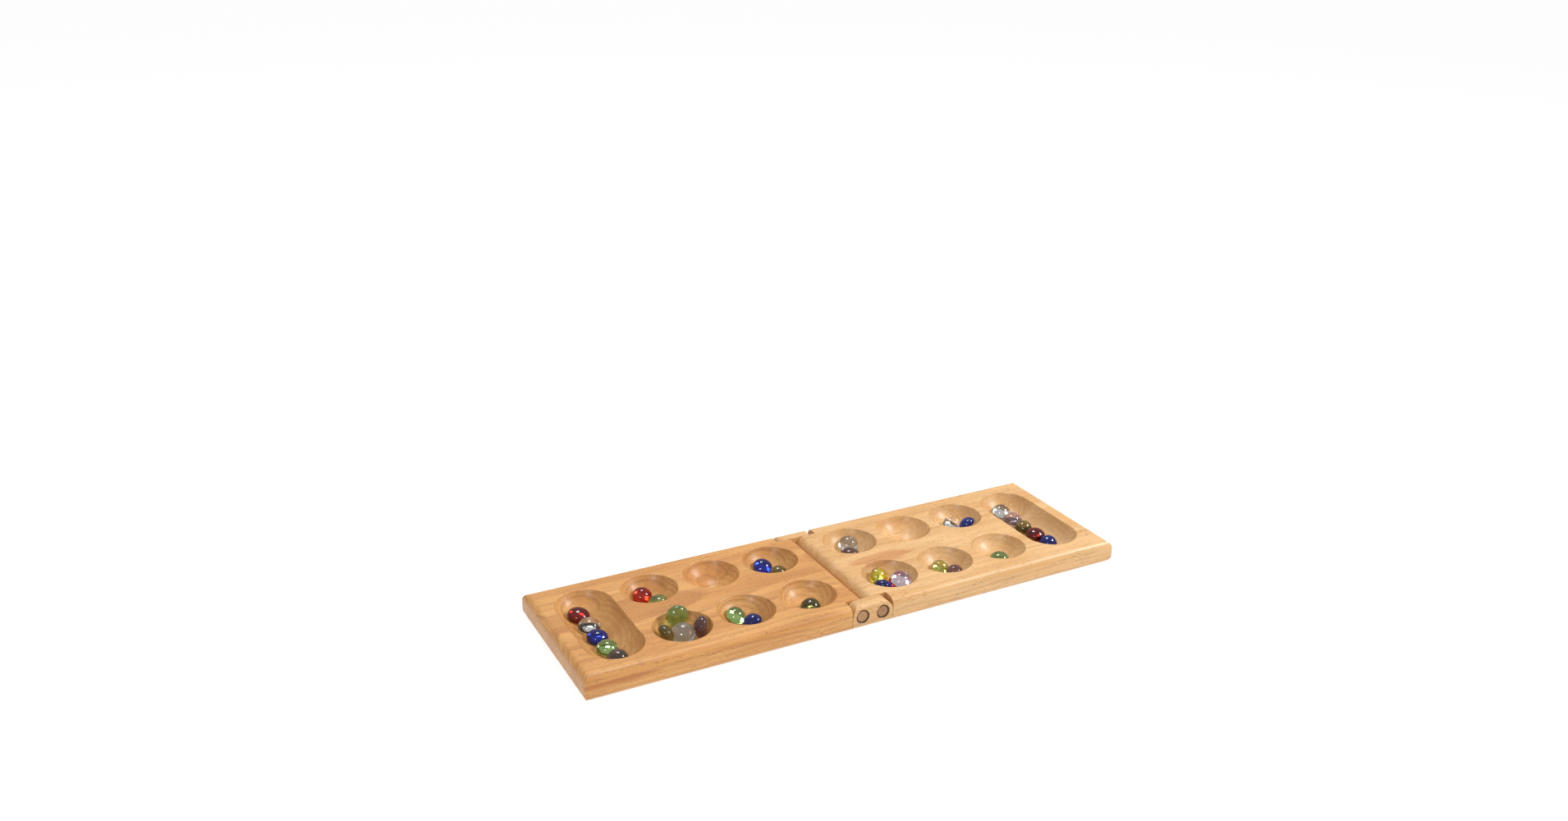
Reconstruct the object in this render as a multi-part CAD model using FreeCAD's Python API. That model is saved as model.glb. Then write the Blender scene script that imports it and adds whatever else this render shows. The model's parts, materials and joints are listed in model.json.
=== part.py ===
"""Folding wooden mancala board with its glass stones (millimetres).

+Z is up and X runs along the board.  The origin is on the underside, in the
middle of the joint between the two halves.  The board lies open: the left half
is on the -X side, the right half on the +X side, and the front edge is at -Y.
"""
import FreeCAD, Part
import math
import os

# ---- board -------------------------------------------------------------
HALF_LENGTH = 226.0          # from the joint to the outer end of one half
BOARD_WIDTH = 133.0          # front edge to rear edge
THICKNESS = 18.5
TOP_ROUND = 6.0              # roundover along the outer top edges
BOTTOM_ROUND = 5.0           # roundover along the outer bottom edges
EDGE_EASE = 0.5              # hand-sanded corners that are not rounded over
JOINT_GAP = 0.4              # between the inner ends of the two halves

# ---- staves glued edge to edge into each half (seams, as Y positions) ---
LEFT_SEAMS = (-20.0, 34.5)
RIGHT_SEAMS = (-32.0, 21.0)

# ---- playing pits and stores ---------------------------------------------
PIT_RADIUS = 22.0            # at the board's top face
PIT_DEPTH = 14.0
RIM_EASE = 0.8               # rounding of every pit's and store's rim
FIRST_PIT = 36.0             # from the joint to the first pit's centre
PIT_PITCH = 51.2             # centre to centre along a row
ROW_OFFSET = 30.6            # from the centre line to a row of pits
PITS_IN_ROW = 3
STORE_CENTRE = 190.4         # from the joint to the store's centre line
STORE_LENGTH = 104.0         # overall, along Y

# ---- wooden hinge links and their dowels --------------------------------
PIN_DROP = 8.5               # from the top face down to a pin's centre line
PIN_DIAMETER = 9.8
PIN_SOCKET_DEPTH = 14.0      # the glued length inside the half
PIN_RECESS = 0.9             # dowel end below the link's outer face
PIN_CHAMFER = 0.5
PIN_PLAY = 0.1               # radial, between a dowel and the link's bore
GLUE_LINE = 0.02             # radial, between a dowel and its glued socket
BORE_CHAMFER = 0.7           # at the outer mouth of the link's bore
LINK_WIDTH = 11.6
LINK_SIDE_GAP = 0.3          # between the link and the inner wall of its notch
LINK_END_GAP = 0.35          # between the link's end and the notch's end wall

# ---- glass stones ----------------------------------------------------------
STONE_EDGE = 0.4             # edge radius as a share of the stone's radius
STONE_SHOULDER = 0.5         # shoulder radius above the widest circle, the same way
STONE_SEAT_GAP = 0.05        # between a stone and the wood below it
STONE_SPACING = 0.5          # smallest gap between two stones

# ---- construction ------------------------------------------------------------
MARGIN = 5.0                 # cutters reach this far past what they cut

# ---- values that follow ----------------------------------------------------
HALF_WIDTH = BOARD_WIDTH / 2
INNER_FACE = JOINT_GAP / 2
PIN_X = INNER_FACE + PIN_DROP
PIN_Z = THICKNESS - PIN_DROP
PIN_RADIUS = PIN_DIAMETER / 2
LINK_HALF_LENGTH = PIN_X + PIN_DROP
NOTCH_END = LINK_HALF_LENGTH + LINK_END_GAP
LINK_INNER_Y = HALF_WIDTH - LINK_WIDTH
NOTCH_Y = LINK_INNER_Y - LINK_SIDE_GAP
PIN_INNER_Y = NOTCH_Y - PIN_SOCKET_DEPTH
PIN_OUTER_Y = HALF_WIDTH - PIN_RECESS
BOWL_RADIUS = (PIT_RADIUS ** 2 + PIT_DEPTH ** 2) / (2 * PIT_DEPTH)
BOWL_CENTRE_Z = THICKNESS - PIT_DEPTH + BOWL_RADIUS
STORE_STRAIGHT = STORE_LENGTH - 2 * PIT_RADIUS


def vec(x, y, z):
    return FreeCAD.Vector(x, y, z)


def save(name, shape):
    """Write one node's STEP file."""
    if not shape.isValid():
        raise ValueError(name + " is not a valid solid")
    shape.exportStep("parts/" + name + ".step")


def box(low, high):
    size = high - low
    return Part.makeBox(size.x, size.y, size.z, low)


def rounded_outline(low, high, radii, to_point):
    """A rectangle with corner radii, in the order low-low, high-low, high-high, low-high.

    to_point turns the outline's two coordinates into a point in space.
    """
    corners = [(low[0], low[1], 1, 1), (high[0], low[1], -1, 1),
               (high[0], high[1], -1, -1), (low[0], high[1], 1, -1)]
    edges = []
    ends = []
    for index, (a, b, step_a, step_b) in enumerate(corners):
        radius = radii[index]
        along_a = (a + step_a * radius, b)
        along_b = (a, b + step_b * radius)
        start, end = (along_b, along_a) if index % 2 == 0 else (along_a, along_b)
        lean = radius * (1 - math.sqrt(0.5))
        middle = (a + step_a * lean, b + step_b * lean)
        edges.append(Part.Arc(to_point(*start), to_point(*middle), to_point(*end)).toShape())
        ends.append((start, end))
    for index in range(4):
        start = ends[index][1]
        end = ends[(index + 1) % 4][0]
        edges.append(Part.makeLine(to_point(*start), to_point(*end)))
    return Part.Face(Part.Wire(Part.__sortEdges__(edges)))


def crossed_profiles(x_range, y_range, x_radii, y_radii):
    """A full-thickness block with one rounded outline seen from the front and one from the end.

    Where the two outlines' roundovers meet at a corner they form a mitre.
    """
    front = rounded_outline((x_range[0], 0), (x_range[1], THICKNESS), x_radii,
                            lambda a, b: vec(a, y_range[0], b))
    end = rounded_outline((y_range[0], 0), (y_range[1], THICKNESS), y_radii,
                          lambda a, b: vec(x_range[0], a, b))
    return front.extrude(vec(0, y_range[1] - y_range[0], 0)).common(
        end.extrude(vec(x_range[1] - x_range[0], 0, 0)))


# ---- the two halves --------------------------------------------------------

def hollow_section():
    """Half of a pit's cross-section, with the eased rim, in the XZ plane about Z = 0 at the top."""
    centre_z = BOWL_CENTRE_Z - THICKNESS
    # The rim's easing arc is tangent to the top face and to the bowl.
    ease_z = -RIM_EASE
    ease_x = math.sqrt((BOWL_RADIUS + RIM_EASE) ** 2 - (centre_z - ease_z) ** 2)
    toward_bowl = math.atan2(centre_z - ease_z, -ease_x)
    meet = (ease_x + RIM_EASE * math.cos(toward_bowl), ease_z + RIM_EASE * math.sin(toward_bowl))
    halfway = (toward_bowl + math.pi / 2) / 2
    middle = (ease_x + RIM_EASE * math.cos(halfway), ease_z + RIM_EASE * math.sin(halfway))
    bottom_z = centre_z - BOWL_RADIUS
    meet_angle = math.asin(meet[0] / BOWL_RADIUS) / 2
    bowl_middle = (BOWL_RADIUS * math.sin(meet_angle), centre_z - BOWL_RADIUS * math.cos(meet_angle))
    return [(0, bottom_z), bowl_middle, meet, middle, (ease_x, 0), (ease_x, MARGIN), (0, MARGIN)]


def section_face(points, x, y, mirror=1):
    low, bowl_mid, meet, ease_mid, rim, above, top = [
        vec(x + mirror * a, y, THICKNESS + b) for a, b in points]
    edges = [Part.Arc(low, bowl_mid, meet).toShape(), Part.Arc(meet, ease_mid, rim).toShape(),
             Part.makeLine(rim, above), Part.makeLine(above, top), Part.makeLine(top, low)]
    return Part.Face(Part.Wire(edges))


def pit_cutter(x, y):
    face = section_face(hollow_section(), x, y)
    return face.revolve(vec(x, y, 0), vec(0, 0, 1), 360)


def store_cutter(x):
    """A straight trough with the pits' own section, closed by half a pit at each end."""
    end_y = STORE_STRAIGHT / 2
    points = hollow_section()
    trough = section_face(points, x, -end_y).extrude(vec(0, STORE_STRAIGHT, 0))
    mirrored = section_face(points, x, -end_y, -1).extrude(vec(0, STORE_STRAIGHT, 0))
    cutter = trough.fuse(mirrored)
    for y in (-end_y, end_y):
        cutter = cutter.fuse(pit_cutter(x, y))
    return cutter.removeSplitter()


def pit_centres(side):
    """The six pits of one half, as (row, place, x, y); place 1 is next to the joint."""
    centres = []
    for row, row_sign in (("front", -1), ("rear", 1)):
        for place in range(PITS_IN_ROW):
            x = side * (FIRST_PIT + place * PIT_PITCH)
            centres.append((row, place + 1, x, row_sign * ROW_OFFSET))
    return centres


def half_board(side):
    """One half as a single block: side is -1 for the left half and +1 for the right."""
    if side < 0:
        x_range = (-HALF_LENGTH, -INNER_FACE)
        x_radii = (BOTTOM_ROUND, EDGE_EASE, PIN_DROP, TOP_ROUND)
    else:
        x_range = (INNER_FACE, HALF_LENGTH)
        x_radii = (EDGE_EASE, BOTTOM_ROUND, TOP_ROUND, PIN_DROP)
    y_radii = (BOTTOM_ROUND, BOTTOM_ROUND, TOP_ROUND, TOP_ROUND)
    block = crossed_profiles(x_range, (-HALF_WIDTH, HALF_WIDTH), x_radii, y_radii)
    cutters = [store_cutter(side * STORE_CENTRE)]
    cutters += [pit_cutter(x, y) for row, place, x, y in pit_centres(side)]
    for edge in (-1, 1):
        low_x, high_x = sorted((side * NOTCH_END, -side * MARGIN))
        low_y, high_y = sorted((edge * NOTCH_Y, edge * (HALF_WIDTH + MARGIN)))
        cutters.append(box(vec(low_x, low_y, -MARGIN), vec(high_x, high_y, THICKNESS + MARGIN)))
        cutters.append(Part.makeCylinder(PIN_RADIUS + GLUE_LINE, PIN_SOCKET_DEPTH + MARGIN,
                                         vec(side * PIN_X, edge * PIN_INNER_Y, PIN_Z),
                                         vec(0, edge, 0)))
    for cutter in cutters:
        block = block.cut(cutter)
    return block


def staves(name, side, seams):
    """Split one half along its glue seams, front to rear."""
    block = half_board(side)
    limits = (-HALF_WIDTH - MARGIN,) + seams + (HALF_WIDTH + MARGIN,)
    reach = HALF_LENGTH + MARGIN
    for index, place in enumerate(("front", "middle", "rear")):
        slab = box(vec(-reach, limits[index], -MARGIN),
                   vec(reach, limits[index + 1], THICKNESS + MARGIN))
        save(name + "_" + place + "_stave", block.common(slab))


# ---- hinge -----------------------------------------------------------------

def link(edge):
    """One wooden hinge link with its two bores; edge is -1 at the front and +1 at the rear."""
    if edge < 0:
        y_radii = (BOTTOM_ROUND, EDGE_EASE, EDGE_EASE, TOP_ROUND)
    else:
        y_radii = (EDGE_EASE, BOTTOM_ROUND, TOP_ROUND, EDGE_EASE)
    y_range = sorted((edge * LINK_INNER_Y, edge * HALF_WIDTH))
    shape = crossed_profiles((-LINK_HALF_LENGTH, LINK_HALF_LENGTH), y_range,
                             (EDGE_EASE, EDGE_EASE, PIN_DROP, PIN_DROP), y_radii)
    bore = PIN_RADIUS + PIN_PLAY
    for side in (-1, 1):
        start = vec(side * PIN_X, edge * (LINK_INNER_Y - MARGIN), PIN_Z)
        shape = shape.cut(Part.makeCylinder(bore, LINK_WIDTH + 2 * MARGIN, start, vec(0, edge, 0)))
        mouth = vec(side * PIN_X, edge * (HALF_WIDTH - BORE_CHAMFER), PIN_Z)
        shape = shape.cut(Part.makeCone(bore, bore + BORE_CHAMFER + MARGIN, BORE_CHAMFER + MARGIN,
                                        mouth, vec(0, edge, 0)))
    return shape


def pin(side, edge):
    """A dowel glued into one half; the link turns on its outer length."""
    length = PIN_OUTER_Y - PIN_INNER_Y
    start = vec(side * PIN_X, edge * PIN_INNER_Y, PIN_Z)
    dowel = Part.makeCylinder(PIN_RADIUS, length - PIN_CHAMFER, start, vec(0, edge, 0))
    shoulder = vec(side * PIN_X, edge * (PIN_OUTER_Y - PIN_CHAMFER), PIN_Z)
    nose = Part.makeCone(PIN_RADIUS, PIN_RADIUS - PIN_CHAMFER, PIN_CHAMFER, shoulder, vec(0, edge, 0))
    return dowel.fuse(nose)


# ---- glass stones ------------------------------------------------------------

def stone_solid(diameter, height):
    """A flat-bottomed glass drop about Z, with its widest circle at Z = 0.

    Above that circle a shoulder arc runs into the crown, a cap of a larger sphere.
    """
    radius = diameter / 2
    edge = STONE_EDGE * radius
    flat = radius - edge
    dome = height - edge
    shoulder = STONE_SHOULDER * radius
    inset = radius - shoulder
    rise = dome - shoulder
    crown_z = (rise ** 2 - inset ** 2) / (2 * rise)
    crown = dome - crown_z
    slope = math.atan2(-crown_z, inset)
    half = slope / 2
    meet = vec(inset + shoulder * math.cos(slope), 0, shoulder * math.sin(slope))
    on_shoulder = vec(inset + shoulder * math.cos(half), 0, shoulder * math.sin(half))
    upper = (slope + math.pi / 2) / 2
    on_crown = vec(crown * math.cos(upper), 0, crown_z + crown * math.sin(upper))
    on_edge = vec(flat + edge * math.sqrt(0.5), 0, -edge * math.sqrt(0.5))
    widest = vec(radius, 0, 0)
    profile = Part.Face(Part.Wire([
        Part.makeLine(vec(0, 0, -edge), vec(flat, 0, -edge)),
        Part.Arc(vec(flat, 0, -edge), on_edge, widest).toShape(),
        Part.Arc(widest, on_shoulder, meet).toShape(),
        Part.Arc(meet, on_crown, vec(0, 0, dome)).toShape(),
        Part.makeLine(vec(0, 0, dome), vec(0, 0, -edge))]))
    return profile.revolve(vec(0, 0, 0), vec(0, 0, 1), 360)


def seat_distance(diameter, lean=0.0):
    """From the bowl's centre to the stone's centre, when the stone's lower edge meets the bowl.

    lean is the extra tilt, in degrees, past the bowl's own slope.
    """
    edge = STONE_EDGE * diameter / 2
    flat = diameter / 2 - edge
    reach = BOWL_RADIUS - edge - STONE_SEAT_GAP
    tip = flat * abs(math.sin(math.radians(lean)))
    return math.sqrt(reach ** 2 - flat ** 2 + tip ** 2) - tip


def half_angle(diameter):
    """Half the angle that a seated stone takes up, seen from the bowl's centre."""
    return math.degrees(math.asin((diameter + STONE_SPACING) / 2 / seat_distance(diameter)))


def seat(stone, x, y, azimuth, polar, lean=0.0):
    """Set a stone in a bowl about (x, y): polar degrees up the wall, in the direction azimuth.

    Its axis points at the bowl's centre, tipped by lean.
    """
    colour, diameter, height = stone
    around = math.radians(azimuth)
    up_wall = math.radians(polar)
    tilt = math.radians(polar + lean)
    out = vec(math.cos(around), math.sin(around), 0)
    centre = vec(x, y, BOWL_CENTRE_Z) + (out * math.sin(up_wall) - vec(0, 0, math.cos(up_wall))) * (
        seat_distance(diameter, lean))
    axis = vec(0, 0, math.cos(tilt)) - out * math.sin(tilt)
    shape = stone_solid(diameter, height)
    shape.Placement = FreeCAD.Placement(centre, FreeCAD.Rotation(vec(0, 0, 1), axis))
    return shape


def alone(stone, azimuth, polar):
    """One stone near the bottom of its pit."""
    return [(stone, azimuth, polar, 0)]


def pair(azimuth, share, stone, other, leans=(0, 0)):
    """Two stones side by side; share is how much of the angle between them the first takes."""
    apart = half_angle(stone[1]) + half_angle(other[1])
    return [(stone, azimuth, share * apart, leans[0]),
            (other, azimuth + 180, (1 - share) * apart, leans[1])]


def nest(middle, around):
    """One stone near the bottom and others standing round it.

    middle is (stone, azimuth, polar, lean).  Each of the others is (stone, azimuth, extra, lean),
    where extra is how far it stands past the angle at which two seated stones touch.
    """
    places = [middle]
    for stone, azimuth, extra, lean in around:
        touching = half_angle(middle[0][1]) + half_angle(stone[1])
        places.append((stone, azimuth, touching + extra, lean))
    return places


# Each stone is (colour, diameter, height).
PIT_STONES = {
    "left_rear_1": pair(114, 0.48, ("blue", 15.4, 8.9), ("olive", 14.0, 8.6)),
    "left_rear_3": pair(114, 0.46, ("red", 15.2, 9.0), ("green", 15.0, 8.3)),
    "left_front_1": alone(("olive", 15.2, 9.0), -37, 6.5),
    "left_front_2": pair(118, 0.62, ("green", 14.6, 8.6), ("blue", 14.8, 9.2), (0, 12)),
    "left_front_3": nest((("ice", 17.2, 9.8), 57, 4.4, 30),
                         [(("green", 16.6, 9.4), 81, 3.8, 37), (("olive", 15.0, 8.8), 181, -5.0, 23),
                          (("purple", 16.2, 9.0), -25, -0.4, 31)]),
    "right_rear_1": pair(64, 0.59, ("clear", 15.5, 9.1), ("purple", 15.7, 9.0)),
    "right_rear_3": pair(119, 0.16, ("clear", 14.8, 9.2), ("blue", 15.1, 8.9), (17, 16)),
    "right_front_1": nest((("red", 14.4, 8.6), -16, 17.1, 15),
                          [(("yellow", 15.4, 9.0), 114, -14.4, 19), (("blue", 15.0, 8.4), -148, -14.2, 10),
                           (("pink", 16.4, 9.6), -73, 0.0, -62)]),
    "right_front_2": pair(107, 0.30, ("lime", 14.2, 9.0), ("purple", 13.8, 8.8), (8, 6)),
    "right_front_3": alone(("green", 15.7, 8.9), -97, 9.2),
}

# Stones lie in a row along each store, rear to front: (colour, diameter, height, cross), where
# cross is how far, in degrees, each lies up the trough's side.
STORE_STONES = {
    "left_store": [("garnet", 16.9, 9.1, -11), ("clear", 16.8, 9.8, -6), ("blue", 15.8, 8.8, -6),
                   ("green", 15.7, 8.9, -3), ("smoke", 15.3, 9.1, 1)],
    "right_store": [("clear", 15.5, 9.2, -1), ("pink", 16.1, 9.4, -1), ("olive", 14.2, 9.2, -2),
                    ("garnet", 16.1, 9.0, -1), ("blue", 14.6, 9.2, 2)],
}
STORE_ROW_SHIFT = {"left_store": -1.3, "right_store": 3.4}    # the row's middle, along Y


def store_row(name, x):
    """Seat a row of stones in a store: in the trough, or up the bowl at either end."""
    row = STORE_STONES[name]
    row_length = sum(diameter + STONE_SPACING for colour, diameter, height, cross in row)
    y = STORE_ROW_SHIFT[name] + row_length / 2
    for number, (colour, diameter, height, cross) in enumerate(row, 1):
        step = (diameter + STONE_SPACING) / 2
        y -= step
        past_end = max(abs(y) - STORE_STRAIGHT / 2, 0)
        climb = math.copysign(math.degrees(math.asin(past_end / seat_distance(diameter))), y)
        bowl_y = y - math.copysign(past_end, y)
        azimuth = math.degrees(math.atan2(climb, cross))
        stone = (colour, diameter, height)
        save(name + "_stone_" + str(number), seat(stone, x, bowl_y, azimuth, math.hypot(climb, cross)))
        y -= step


def pit_stones(name, side):
    for row, place, x, y in pit_centres(side):
        pit = name + "_" + row + "_" + str(place)
        for number, (stone, azimuth, polar, lean) in enumerate(PIT_STONES.get(pit, []), 1):
            save(pit + "_stone_" + str(number), seat(stone, x, y, azimuth, polar, lean))


def build():
    os.makedirs("parts", exist_ok=True)
    for name, side, seams in (("left", -1, LEFT_SEAMS), ("right", 1, RIGHT_SEAMS)):
        staves(name, side, seams)
        for edge_name, edge in (("front", -1), ("rear", 1)):
            save(name + "_" + edge_name + "_pin", pin(side, edge))
        pit_stones(name, side)
        store_row(name + "_store", side * STORE_CENTRE)
    save("front_link", link(-1))
    save("rear_link", link(1))


build()
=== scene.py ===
import json
import math

import bpy
from mathutils import Matrix, Vector


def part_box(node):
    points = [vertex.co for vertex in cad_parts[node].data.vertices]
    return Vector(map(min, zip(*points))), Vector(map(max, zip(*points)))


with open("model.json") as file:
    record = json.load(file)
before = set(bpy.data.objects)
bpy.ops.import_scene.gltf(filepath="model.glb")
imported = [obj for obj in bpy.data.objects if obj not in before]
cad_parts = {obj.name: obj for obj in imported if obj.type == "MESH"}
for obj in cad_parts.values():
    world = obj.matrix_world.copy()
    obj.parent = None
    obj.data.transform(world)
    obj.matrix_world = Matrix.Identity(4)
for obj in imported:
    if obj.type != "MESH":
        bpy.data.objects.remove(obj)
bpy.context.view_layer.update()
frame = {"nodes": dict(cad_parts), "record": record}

# ---- camera ------------------------------------------------------------------
CAMERA_PLACE = (-0.4888, -0.8368, 0.5352)
CAMERA_AZIMUTH = -28.13          # degrees; 0 looks along +Y
CAMERA_ELEVATION = 21.78         # degrees that it looks down
CAMERA_ROLL = 0.67               # degrees
SENSOR = 36.0                    # millimetres wide
LENS = 32.232                    # millimetres
CLIP_START = 0.01
CLIP_END = 100.0

# ---- light -------------------------------------------------------------------
WORLD_LIGHT = 0.50               # the room's light on the board
WORLD_SEEN = 1.0                 # the same room, seen as a white sweep
WHITE = (1.0, 1.0, 1.0, 1.0)
FLOOR_COLOUR = (0.30, 0.30, 0.30, 1.0)
FLOOR_GLOW = 0.82                # the paper is lit from below as well
FLOOR_ROUGHNESS = 0.9
FLOOR_SPECULAR = 0.1
FLOOR_SIZE = 60.0
# Softboxes: name, place, the point each faces, side, power in watts.
SOFTBOXES = [
    ("right_softbox", (1.25, -0.55, 1.20), (0.10, 0.0, 0.0), 0.52, 22.0),
    ("left_softbox", (-1.15, -1.05, 1.10), (-0.05, 0.0, 0.0), 0.36, 7.0),
    ("top_softbox", (0.15, 0.70, 1.60), (0.0, 0.0, 0.0), 0.50, 12.0),
]


# ---- node graphs -------------------------------------------------------------
# The mix node's sockets for a factor and two colours, and its colour result.
MIX_COLOUR_INPUTS = (0, 6, 7)
MIX_COLOUR_OUTPUT = 2


class Graph:
    """A material's node tree, with short ways to add nodes."""

    def __init__(self, name):
        self.material = bpy.data.materials.new(name)
        self.material.use_nodes = True
        self.tree = self.material.node_tree
        self.tree.nodes.clear()
        self.output = self.tree.nodes.new("ShaderNodeOutputMaterial")

    def new(self, kind, inputs=None, **settings):
        node = self.tree.nodes.new(kind)
        for key, value in settings.items():
            setattr(node, key, value)
        for key, value in (inputs or {}).items():
            self.feed(node.inputs[key], value)
        return node

    def feed(self, socket, value):
        if isinstance(value, bpy.types.NodeSocket):
            self.tree.links.new(value, socket)
        else:
            socket.default_value = value

    def math(self, operation, a, b=0.0, c=0.0):
        node = self.new("ShaderNodeMath", {0: a, 1: b, 2: c}, operation=operation)
        return node.outputs[0]

    def vector(self, operation, a, b=(0, 0, 0)):
        node = self.new("ShaderNodeVectorMath", {0: a, 1: b}, operation=operation)
        return node.outputs[0]

    def combine(self, x, y, z):
        return self.new("ShaderNodeCombineXYZ", {"X": x, "Y": y, "Z": z}).outputs[0]

    def separate(self, value):
        return self.new("ShaderNodeSeparateXYZ", {0: value}).outputs

    def noise(self, place, scale, detail, rough, shift=(0, 0, 0)):
        """Noise whose cell is 1 / scale long on each axis: its value, then its colour."""
        place = self.vector("MULTIPLY", place, scale)
        place = self.vector("ADD", place, shift)
        return self.new("ShaderNodeTexNoise", {
            "Vector": place, "Scale": 1.0, "Detail": detail, "Roughness": rough}).outputs

    def ramp(self, value, low, high):
        """0 below low, 1 above high, smooth between."""
        return self.new("ShaderNodeMapRange", {
            "Value": value, "From Min": low, "From Max": high, "To Min": 0.0, "To Max": 1.0},
            interpolation_type="SMOOTHSTEP").outputs[0]

    def mix(self, share, a, b, blend="MIX"):
        """Colour a turned by share into colour b, or multiplied by it."""
        node = self.new("ShaderNodeMix", data_type="RGBA", blend_type=blend, clamp_factor=True)
        for index, value in zip(MIX_COLOUR_INPUTS, (share, a, b)):
            self.feed(node.inputs[index], value)
        return node.outputs[MIX_COLOUR_OUTPUT]

    def tint(self, colour, factor):
        """A colour multiplied by another one."""
        return self.mix(1.0, colour, factor, "MULTIPLY")

    def distance(self, a, b):
        """How long the vector with the two components a and b is."""
        squares = self.math("ADD", self.math("MULTIPLY", a, a), self.math("MULTIPLY", b, b))
        return self.math("SQRT", squares)

    def shader(self, inputs):
        node = self.new("ShaderNodeBsdfPrincipled", inputs)
        self.tree.links.new(node.outputs[0], self.output.inputs["Surface"])
        return node


# ---- wood --------------------------------------------------------------------
# Wood is worked out in millimetres.  A noise scale is for along the grain, then twice across it.
TO_MILLIMETRES = (1000, 1000, 1000)
CENTRED = (0.5, 0.5, 0.5)        # what a noise colour averages

WARP_SCALE = (0.006, 0.012, 0.012)
WARP_REACH = (0.0, 14.0, 14.0)   # how far the rings wander
RIPPLE_SCALE = (0.03, 0.40, 0.40)
RIPPLE_REACH = 0.22              # in rings
LATE_START, LATE_FULL = 0.15, 0.88          # where in a year's ring the dark latewood comes
LATE_END = 0.90
YEAR_CHANGE, YEAR_LEAST = 0.75, 0.25        # how the years differ

FIBRE_SCALE = (0.035, 1.1, 1.1)
FIBRE_SHADE, FIBRE_DARKEST = 0.60, 0.70
STREAK_SCALE = (0.012, 0.30, 0.30)
STREAK_LOW, STREAK_HIGH = 0.5, 0.75
STREAK_STRENGTH = 0.30
DRIFT_SCALE = (0.008, 0.045, 0.045)
DRIFT_LOW, DRIFT_HIGH = 0.36, 0.66

PORE_SCALE = (0.20, 1.35, 1.35)
PORE_EDGE, PORE_HEART = 0.36, 0.16
CLUSTER_SCALE = (0.03, 0.22, 0.22)
CLUSTER_LOW, CLUSTER_HIGH = 0.40, 0.62
CLUSTER_SHARE, STRAY_SHARE = 0.9, 0.1
PORE_TINT = (0.38, 0.27, 0.20, 1)

END_TINT = (0.62, 0.52, 0.42, 1)
END_STRENGTH = 0.30
END_SHARPNESS = 2.0

HEART_SCALE = (0.03, 0.25, 0.25)
HEART_EDGE, HEART_FULL = 1.0, 0.72
HEART_TINT = (0.80, 0.62, 0.50, 1)

# Painted shade: a dark ring round each dowel, standing in for the shadow in the bore's gap and on
# the recessed dowel's rim, measured from its surface.
DOWEL_SHADE_INSIDE, DOWEL_SHADE_INSIDE_FULL = 0.75, 0.35
DOWEL_SHADE_OUTSIDE, DOWEL_SHADE_OUTSIDE_FULL = 0.75, 0.45
DOWEL_SHADE_COLOUR = (0.030, 0.014, 0.006, 1)
DOWEL_SHADE_STRENGTH = 0.85

ROUGHNESS, ROUGHNESS_OF_FIBRE, ROUGHNESS_OF_PORE = 0.34, 0.16, 0.25
RELIEF_OF_FIBRE, RELIEF_OF_PORE, RELIEF_OF_LATEWOOD = 0.25, -1.0, 0.12
RELIEF_STRENGTH, RELIEF_DEPTH = 0.30, 0.0002
LACQUER = {"IOR": 1.45, "Coat Weight": 0.12, "Coat Roughness": 0.20}

PIN_LOW, PIN_HIGH = (Vector(corner) * 1000 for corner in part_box("right_front_pin"))
PIN_X = (PIN_LOW.x + PIN_HIGH.x) / 2
PIN_Z = (PIN_LOW.z + PIN_HIGH.z) / 2
PIN_RADIUS = (PIN_HIGH.z - PIN_LOW.z) / 2


def growth_rings(g, millimetres, pith, spacing, slope, shift):
    """How much latewood there is at each place, from 0 to 1."""
    warp = g.noise(millimetres, WARP_SCALE, 2.0, 0.4, shift)[1]
    warp = g.vector("MULTIPLY", g.vector("SUBTRACT", warp, CENTRED), WARP_REACH)
    x, y, z = g.separate(g.vector("ADD", millimetres, warp))
    y = g.math("MULTIPLY_ADD", x, slope, y)
    radius = g.distance(g.math("SUBTRACT", y, pith[0]), g.math("SUBTRACT", z, pith[1]))
    ripple = g.noise(millimetres, RIPPLE_SCALE, 2.0, 0.5, shift)[0]
    count = g.math("MULTIPLY_ADD", ripple, RIPPLE_REACH, g.math("DIVIDE", radius, spacing))
    phase = g.math("FRACT", count)
    number = g.math("FLOOR", count)
    year = g.new("ShaderNodeTexWhiteNoise", {"W": number}, noise_dimensions="1D").outputs[0]
    rise = g.ramp(phase, LATE_START, LATE_FULL)
    drop = g.ramp(phase, 1.0, LATE_END)
    strength = g.math("MULTIPLY_ADD", year, YEAR_CHANGE, YEAR_LEAST)
    return g.math("MULTIPLY", g.math("MULTIPLY", rise, drop), strength)


def dowel_painted_shade(g, place):
    """1 in the ring of painted shade round each dowel, on the bore's wall and the dowel's rim,
    where the recess falls into shadow.
    """
    x, _, z = g.separate(place)
    across = g.math("SUBTRACT", g.math("ABSOLUTE", x), PIN_X)
    from_pin = g.distance(across, g.math("SUBTRACT", z, PIN_Z))
    inside = g.ramp(from_pin, PIN_RADIUS - DOWEL_SHADE_INSIDE, PIN_RADIUS - DOWEL_SHADE_INSIDE_FULL)
    outside = g.ramp(from_pin, PIN_RADIUS + DOWEL_SHADE_OUTSIDE, PIN_RADIUS + DOWEL_SHADE_OUTSIDE_FULL)
    return g.math("MULTIPLY", inside, outside)


def pores(g, millimetres, shift):
    """Long thin cells, seen as dashes along the grain and dots on the end grain."""
    cells = g.vector("ADD", g.vector("MULTIPLY", millimetres, PORE_SCALE), shift)
    pore = g.new("ShaderNodeTexVoronoi", {"Vector": cells, "Scale": 1.0}).outputs["Distance"]
    clusters = g.noise(millimetres, CLUSTER_SCALE, 3.0, 0.6, shift)[0]
    share = g.math("MULTIPLY_ADD", g.ramp(clusters, CLUSTER_LOW, CLUSTER_HIGH),
                   CLUSTER_SHARE, STRAY_SHARE)
    return g.math("MULTIPLY", g.ramp(pore, PORE_EDGE, PORE_HEART), share)


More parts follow.
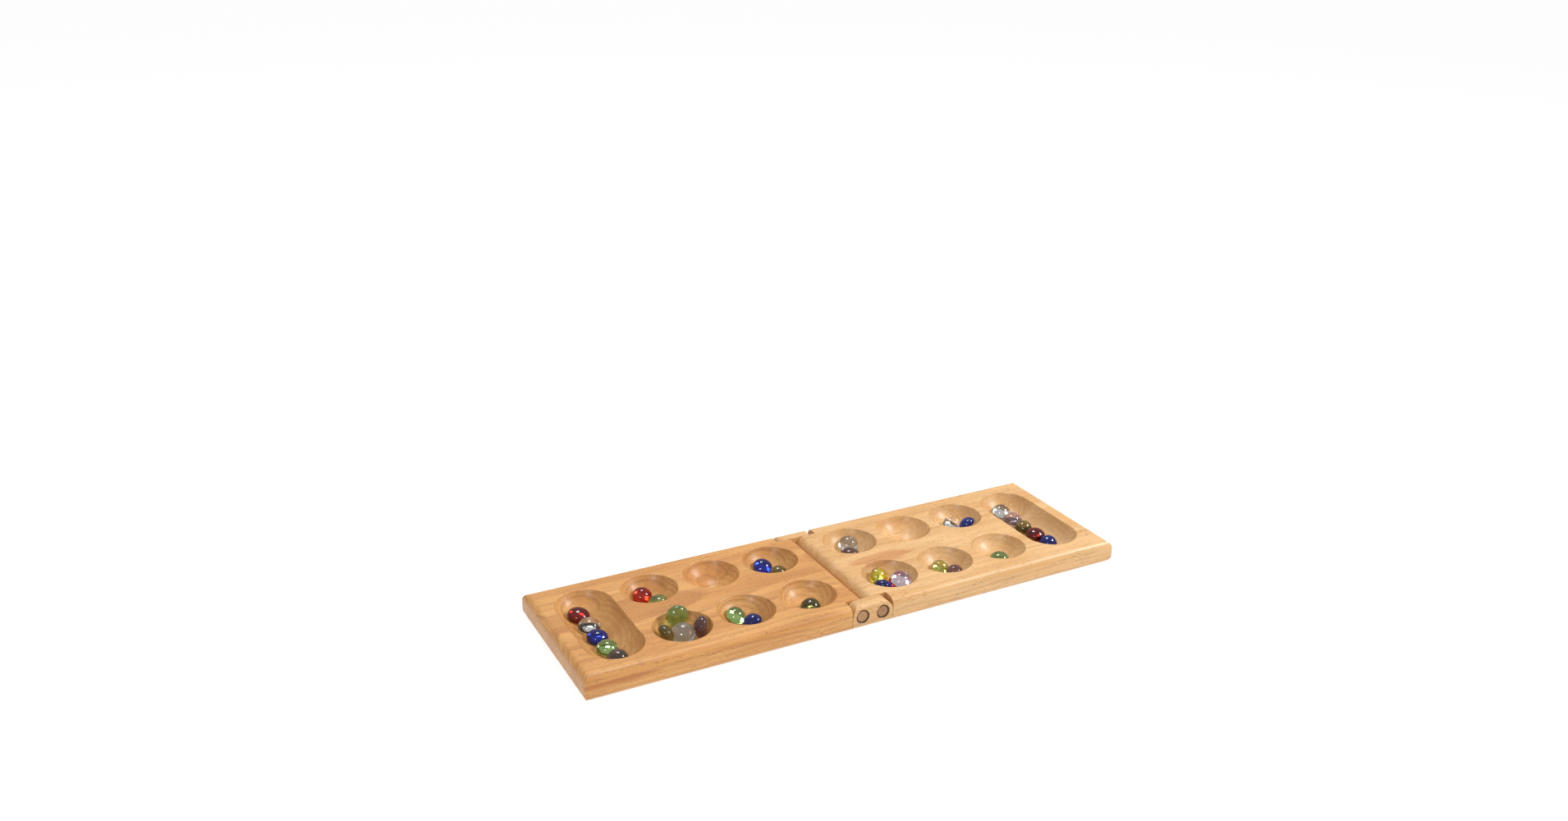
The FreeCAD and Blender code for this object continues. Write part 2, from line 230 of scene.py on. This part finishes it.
def heartwood(g, colour, place, middle, reach, strength):
    """The colour with a streak of darker heartwood in it."""
    away = g.vector("DIVIDE", g.vector("SUBTRACT", place, middle), reach)
    wander = g.vector("SUBTRACT", g.noise(place, HEART_SCALE, 3.0, 0.6)[1], CENTRED)
    away = g.new("ShaderNodeVectorMath", {0: g.vector("ADD", away, wander)}, operation="LENGTH")
    inside = g.ramp(away.outputs["Value"], HEART_EDGE, HEART_FULL)
    return g.mix(g.math("MULTIPLY", inside, strength), colour, g.tint(colour, HEART_TINT))


def wood(name, light, warm, late, pith, seed, spacing, slope, ring_strength, pore_strength=0.75,
         grain_axis="X", heart=None):
    """Lacquered hardwood cut from a solid pattern of growth rings, fibres and pores.

    light and warm are the two tones it drifts between, and late the dark latewood.  pith is the
    tree's centre line, as (across, up), spacing the width of a ring, and slope how much the grain
    runs out.  heart is a streak of darker heartwood: its middle, its reach on each axis, and its
    strength.
    """
    g = Graph(name)
    coordinates = g.new("ShaderNodeTexCoord")
    place = g.vector("MULTIPLY", coordinates.outputs["Object"], TO_MILLIMETRES)
    normal = g.separate(coordinates.outputs["Normal"])
    if grain_axis == "Y":
        x, y, z = g.separate(place)
        millimetres = g.combine(y, x, z)
        end_facing = g.math("ABSOLUTE", normal[1])
    else:
        millimetres = place
        end_facing = g.math("ABSOLUTE", normal[0])
    shift = (seed * 17.3, seed * 5.1, seed * 9.7)

    latewood = growth_rings(g, millimetres, pith, spacing, slope, shift)
    fibre = g.noise(millimetres, FIBRE_SCALE, 4.0, 0.65, shift)[0]
    streak = g.noise(millimetres, STREAK_SCALE, 3.0, 0.6, shift)[0]
    drift = g.noise(millimetres, DRIFT_SCALE, 2.0, 0.5, shift)[0]
    pore = pores(g, millimetres, shift)

    colour = g.mix(g.ramp(drift, DRIFT_LOW, DRIFT_HIGH), light, warm)
    colour = g.mix(g.math("MULTIPLY", latewood, ring_strength), colour, late)
    streak = g.math("MULTIPLY", g.ramp(streak, STREAK_LOW, STREAK_HIGH), STREAK_STRENGTH)
    colour = g.mix(streak, colour, late)
    shade = g.math("MULTIPLY_ADD", fibre, FIBRE_SHADE, FIBRE_DARKEST)
    colour = g.tint(colour, g.combine(shade, shade, shade))
    ends = g.math("MULTIPLY", g.math("POWER", end_facing, END_SHARPNESS), END_STRENGTH)
    colour = g.mix(ends, colour, g.tint(colour, END_TINT))
    colour = g.mix(g.math("MULTIPLY", pore, pore_strength), colour, g.tint(colour, PORE_TINT))
    if heart is not None:
        colour = heartwood(g, colour, place, *heart)
    # Painted shade: the near-black ring round each dowel stands in for the shadow in its recess.
    colour = g.mix(g.math("MULTIPLY", dowel_painted_shade(g, place), DOWEL_SHADE_STRENGTH), colour, DOWEL_SHADE_COLOUR)

    rough = g.math("MULTIPLY_ADD", fibre, ROUGHNESS_OF_FIBRE, ROUGHNESS)
    rough = g.math("MULTIPLY_ADD", pore, ROUGHNESS_OF_PORE, rough)
    height = g.math("MULTIPLY", pore, RELIEF_OF_PORE)
    height = g.math("MULTIPLY_ADD", fibre, RELIEF_OF_FIBRE, height)
    height = g.math("MULTIPLY_ADD", latewood, RELIEF_OF_LATEWOOD, height)
    bump = g.new("ShaderNodeBump", {"Strength": RELIEF_STRENGTH, "Distance": RELIEF_DEPTH,
                                    "Height": height})
    g.shader({"Base Color": colour, "Roughness": rough, "Normal": bump.outputs[0], **LACQUER})
    return g.material


# The light, warm and late tones of each half, and of the dowels.
LEFT = ((0.66, 0.340, 0.108, 1.0), (0.56, 0.255, 0.072, 1.0), (0.33, 0.125, 0.030, 1.0))
RIGHT = ((0.70, 0.430, 0.195, 1.0), (0.63, 0.350, 0.135, 1.0), (0.43, 0.200, 0.068, 1.0))
DOWEL = ((0.50, 0.270, 0.115, 1.0), (0.42, 0.215, 0.085, 1.0), (0.25, 0.110, 0.040, 1.0))

# Streaks of heartwood: middle, reach and strength.
EDGE_HEART = ((-226.0, -66.5, 11.0), (62.0, 5.0, 2.6), 0.9)
MIDDLE_HEART = ((44.0, -6.0, 18.5), (34.0, 9.0, 9.0), 0.8)
FRONT_HEART = ((36.0, -14.0, 14.0), (30.0, 16.0, 9.0), 0.7)

# Node: tones, pith, seed, ring spacing, slope, ring strength, heartwood.
STAVES = {
    "left_rear_stave": (LEFT, (60, -46), 1.0, 3.2, 0.03, 0.55, None),
    "left_middle_stave": (LEFT, (14, -80), 2.0, 3.2, -0.02, 0.60, None),
    "left_front_stave": (LEFT, (-6, -64), 3.0, 3.4, 0.02, 0.55, EDGE_HEART),
    "right_rear_stave": (RIGHT, (74, -62), 4.0, 3.6, -0.03, 0.38, None),
    "right_middle_stave": (RIGHT, (-12, -80), 5.0, 3.4, 0.02, 0.38, MIDDLE_HEART),
    "right_front_stave": (RIGHT, (-80, -60), 6.0, 3.6, 0.02, 0.38, FRONT_HEART),
    "front_link": (RIGHT, (-40, -70), 7.0, 3.0, 0.05, 0.4, None),
    "rear_link": (RIGHT, (90, -60), 8.0, 3.0, -0.05, 0.4, None),
}
WOODS = {}
for node, (tones, pith, seed, spacing, slope, ring_strength, heart) in STAVES.items():
    WOODS[node] = wood(node.replace("_stave", "") + "_wood", *tones, pith, seed, spacing, slope,
                       ring_strength, heart=heart)
DOWEL_WOOD = wood("dowel_wood", *DOWEL, (14, 22), 9.0, 2.0, 0.0, 0.6, pore_strength=0.9,
                  grain_axis="Y")


# ---- glass -------------------------------------------------------------------
# Glass is worked out in metres.
WAVE_SCALE = (150, 150, 150)
WAVE_STRENGTH, WAVE_DEPTH = 0.12, 0.0012
SWIRL_SCALE = (130, 130, 260)
SWIRL_LOW, SWIRL_HIGH = 0.35, 0.70
SWIRL_DEPTH = 0.72               # the deep part of a swirl, as a share of the tint
SMEAR_SCALE = (420, 420, 420)
SMEAR_LOW, SMEAR_HIGH = 0.45, 0.8
SMEAR_ROUGHNESS = 0.05
GLASS_IOR = 1.52


def glass(name, tint, clarity):
    """Coloured glass: clarity is how much light passes rather than scatters."""
    g = Graph(name)
    place = g.new("ShaderNodeTexCoord").outputs["Object"]
    waves = g.noise(place, WAVE_SCALE, 2.0, 0.5)[0]
    bump = g.new("ShaderNodeBump", {"Strength": WAVE_STRENGTH, "Distance": WAVE_DEPTH,
                                    "Height": waves})
    swirl = g.ramp(g.noise(place, SWIRL_SCALE, 3.0, 0.6)[0], SWIRL_LOW, SWIRL_HIGH)
    deep = tuple(channel * SWIRL_DEPTH for channel in tint[:3]) + (1.0,)
    smear = g.ramp(g.noise(place, SMEAR_SCALE, 3.0, 0.6)[0], SMEAR_LOW, SMEAR_HIGH)
    g.shader({"Base Color": g.mix(swirl, tint, deep),
              "Roughness": g.math("MULTIPLY", smear, SMEAR_ROUGHNESS),
              "IOR": GLASS_IOR, "Transmission Weight": clarity, "Normal": bump.outputs[0]})
    return g.material


GLASSES = {
    "clear": glass("clear_glass", (0.97, 0.98, 0.96, 1), 0.98),
    "ice": glass("ice_glass", (0.68, 0.82, 1.00, 1), 0.94),
    "blue": glass("blue_glass", (0.015, 0.035, 0.48, 1), 0.86),
    "green": glass("green_glass", (0.50, 0.74, 0.27, 1), 0.90),
    "olive": glass("olive_glass", (0.30, 0.27, 0.07, 1), 0.88),
    "red": glass("red_glass", (0.66, 0.022, 0.006, 1), 0.88),
    "garnet": glass("garnet_glass", (0.34, 0.010, 0.007, 1), 0.88),
    "purple": glass("purple_glass", (0.28, 0.16, 0.18, 1), 0.88),
    "pink": glass("pink_glass", (0.94, 0.80, 0.88, 1), 0.93),
    "lime": glass("lime_glass", (0.66, 0.63, 0.13, 1), 0.88),
    "yellow": glass("yellow_glass", (0.84, 0.76, 0.07, 1), 0.88),
    "smoke": glass("smoke_glass", (0.34, 0.27, 0.23, 1), 0.90),
}

slots = {entry["node"]: entry["material_slot"] for entry in frame["record"]["subparts"]}
for name, cad in frame["nodes"].items():
    if name in WOODS:
        finish = WOODS[name]
    elif name.endswith("_pin"):
        finish = DOWEL_WOOD
    else:
        finish = GLASSES[slots[name].replace("glass_", "")]
    cad.data.materials.clear()
    cad.data.materials.append(finish)


# ---- floor, light and camera -------------------------------------------------

def make_floor():
    half = FLOOR_SIZE / 2
    mesh = bpy.data.meshes.new("floor")
    corners = [(-half, -half, 0), (half, -half, 0), (half, half, 0), (-half, half, 0)]
    mesh.from_pydata(corners, [], [(0, 1, 2, 3)])
    floor = bpy.data.objects.new("floor", mesh)
    bpy.context.scene.collection.objects.link(floor)
    g = Graph("floor_paper")
    g.shader({"Base Color": FLOOR_COLOUR, "Roughness": FLOOR_ROUGHNESS,
              "Specular IOR Level": FLOOR_SPECULAR,
              "Emission Color": WHITE, "Emission Strength": FLOOR_GLOW})
    mesh.materials.append(g.material)


def aim(place, target):
    """A matrix at place whose -Z looks at target."""
    back = (Vector(place) - Vector(target)).normalized()
    return Matrix.Translation(place) @ back.to_track_quat("Z", "Y").to_matrix().to_4x4()


def make_lights():
    for name, place, target, side, power in SOFTBOXES:
        light = bpy.data.lights.new(name, "AREA")
        light.shape = "SQUARE"
        light.size = side
        light.energy = power
        lamp = bpy.data.objects.new(name, light)
        lamp.matrix_world = aim(place, target)
        bpy.context.scene.collection.objects.link(lamp)


def make_room():
    """White all round.  It lights the board softly, and is seen as a white sweep behind it."""
    world = bpy.data.worlds.new("studio")
    world.use_nodes = True
    tree = world.node_tree
    tree.nodes.clear()
    mixed = tree.nodes.new("ShaderNodeMixShader")
    seen = tree.nodes.new("ShaderNodeLightPath").outputs["Is Camera Ray"]
    tree.links.new(seen, mixed.inputs[0])
    for socket, strength in zip(mixed.inputs[1:], (WORLD_LIGHT, WORLD_SEEN)):
        background = tree.nodes.new("ShaderNodeBackground")
        background.inputs["Color"].default_value = WHITE
        background.inputs["Strength"].default_value = strength
        tree.links.new(background.outputs[0], socket)
    output = tree.nodes.new("ShaderNodeOutputWorld")
    tree.links.new(mixed.outputs[0], output.inputs["Surface"])
    bpy.context.scene.world = world


def make_camera():
    azimuth = math.radians(CAMERA_AZIMUTH)
    elevation = math.radians(CAMERA_ELEVATION)
    back = Vector((math.sin(azimuth) * math.cos(elevation),
                   -math.cos(azimuth) * math.cos(elevation), math.sin(elevation)))
    right = Vector((0, 0, 1)).cross(back).normalized()
    up = back.cross(right)
    turn = Matrix.Rotation(math.radians(CAMERA_ROLL), 3, "Z")
    axes = Matrix((right, up, back)).transposed() @ turn
    camera = bpy.data.cameras.new("camera")
    camera.sensor_width = SENSOR
    camera.lens = LENS
    camera.clip_start = CLIP_START
    camera.clip_end = CLIP_END
    holder = bpy.data.objects.new("camera", camera)
    holder.matrix_world = Matrix.Translation(CAMERA_PLACE) @ axes.to_4x4()
    bpy.context.scene.collection.objects.link(holder)
    bpy.context.scene.camera = holder


make_floor()
make_lights()
make_room()
make_camera()
bpy.context.scene.view_settings.view_transform = "Standard"
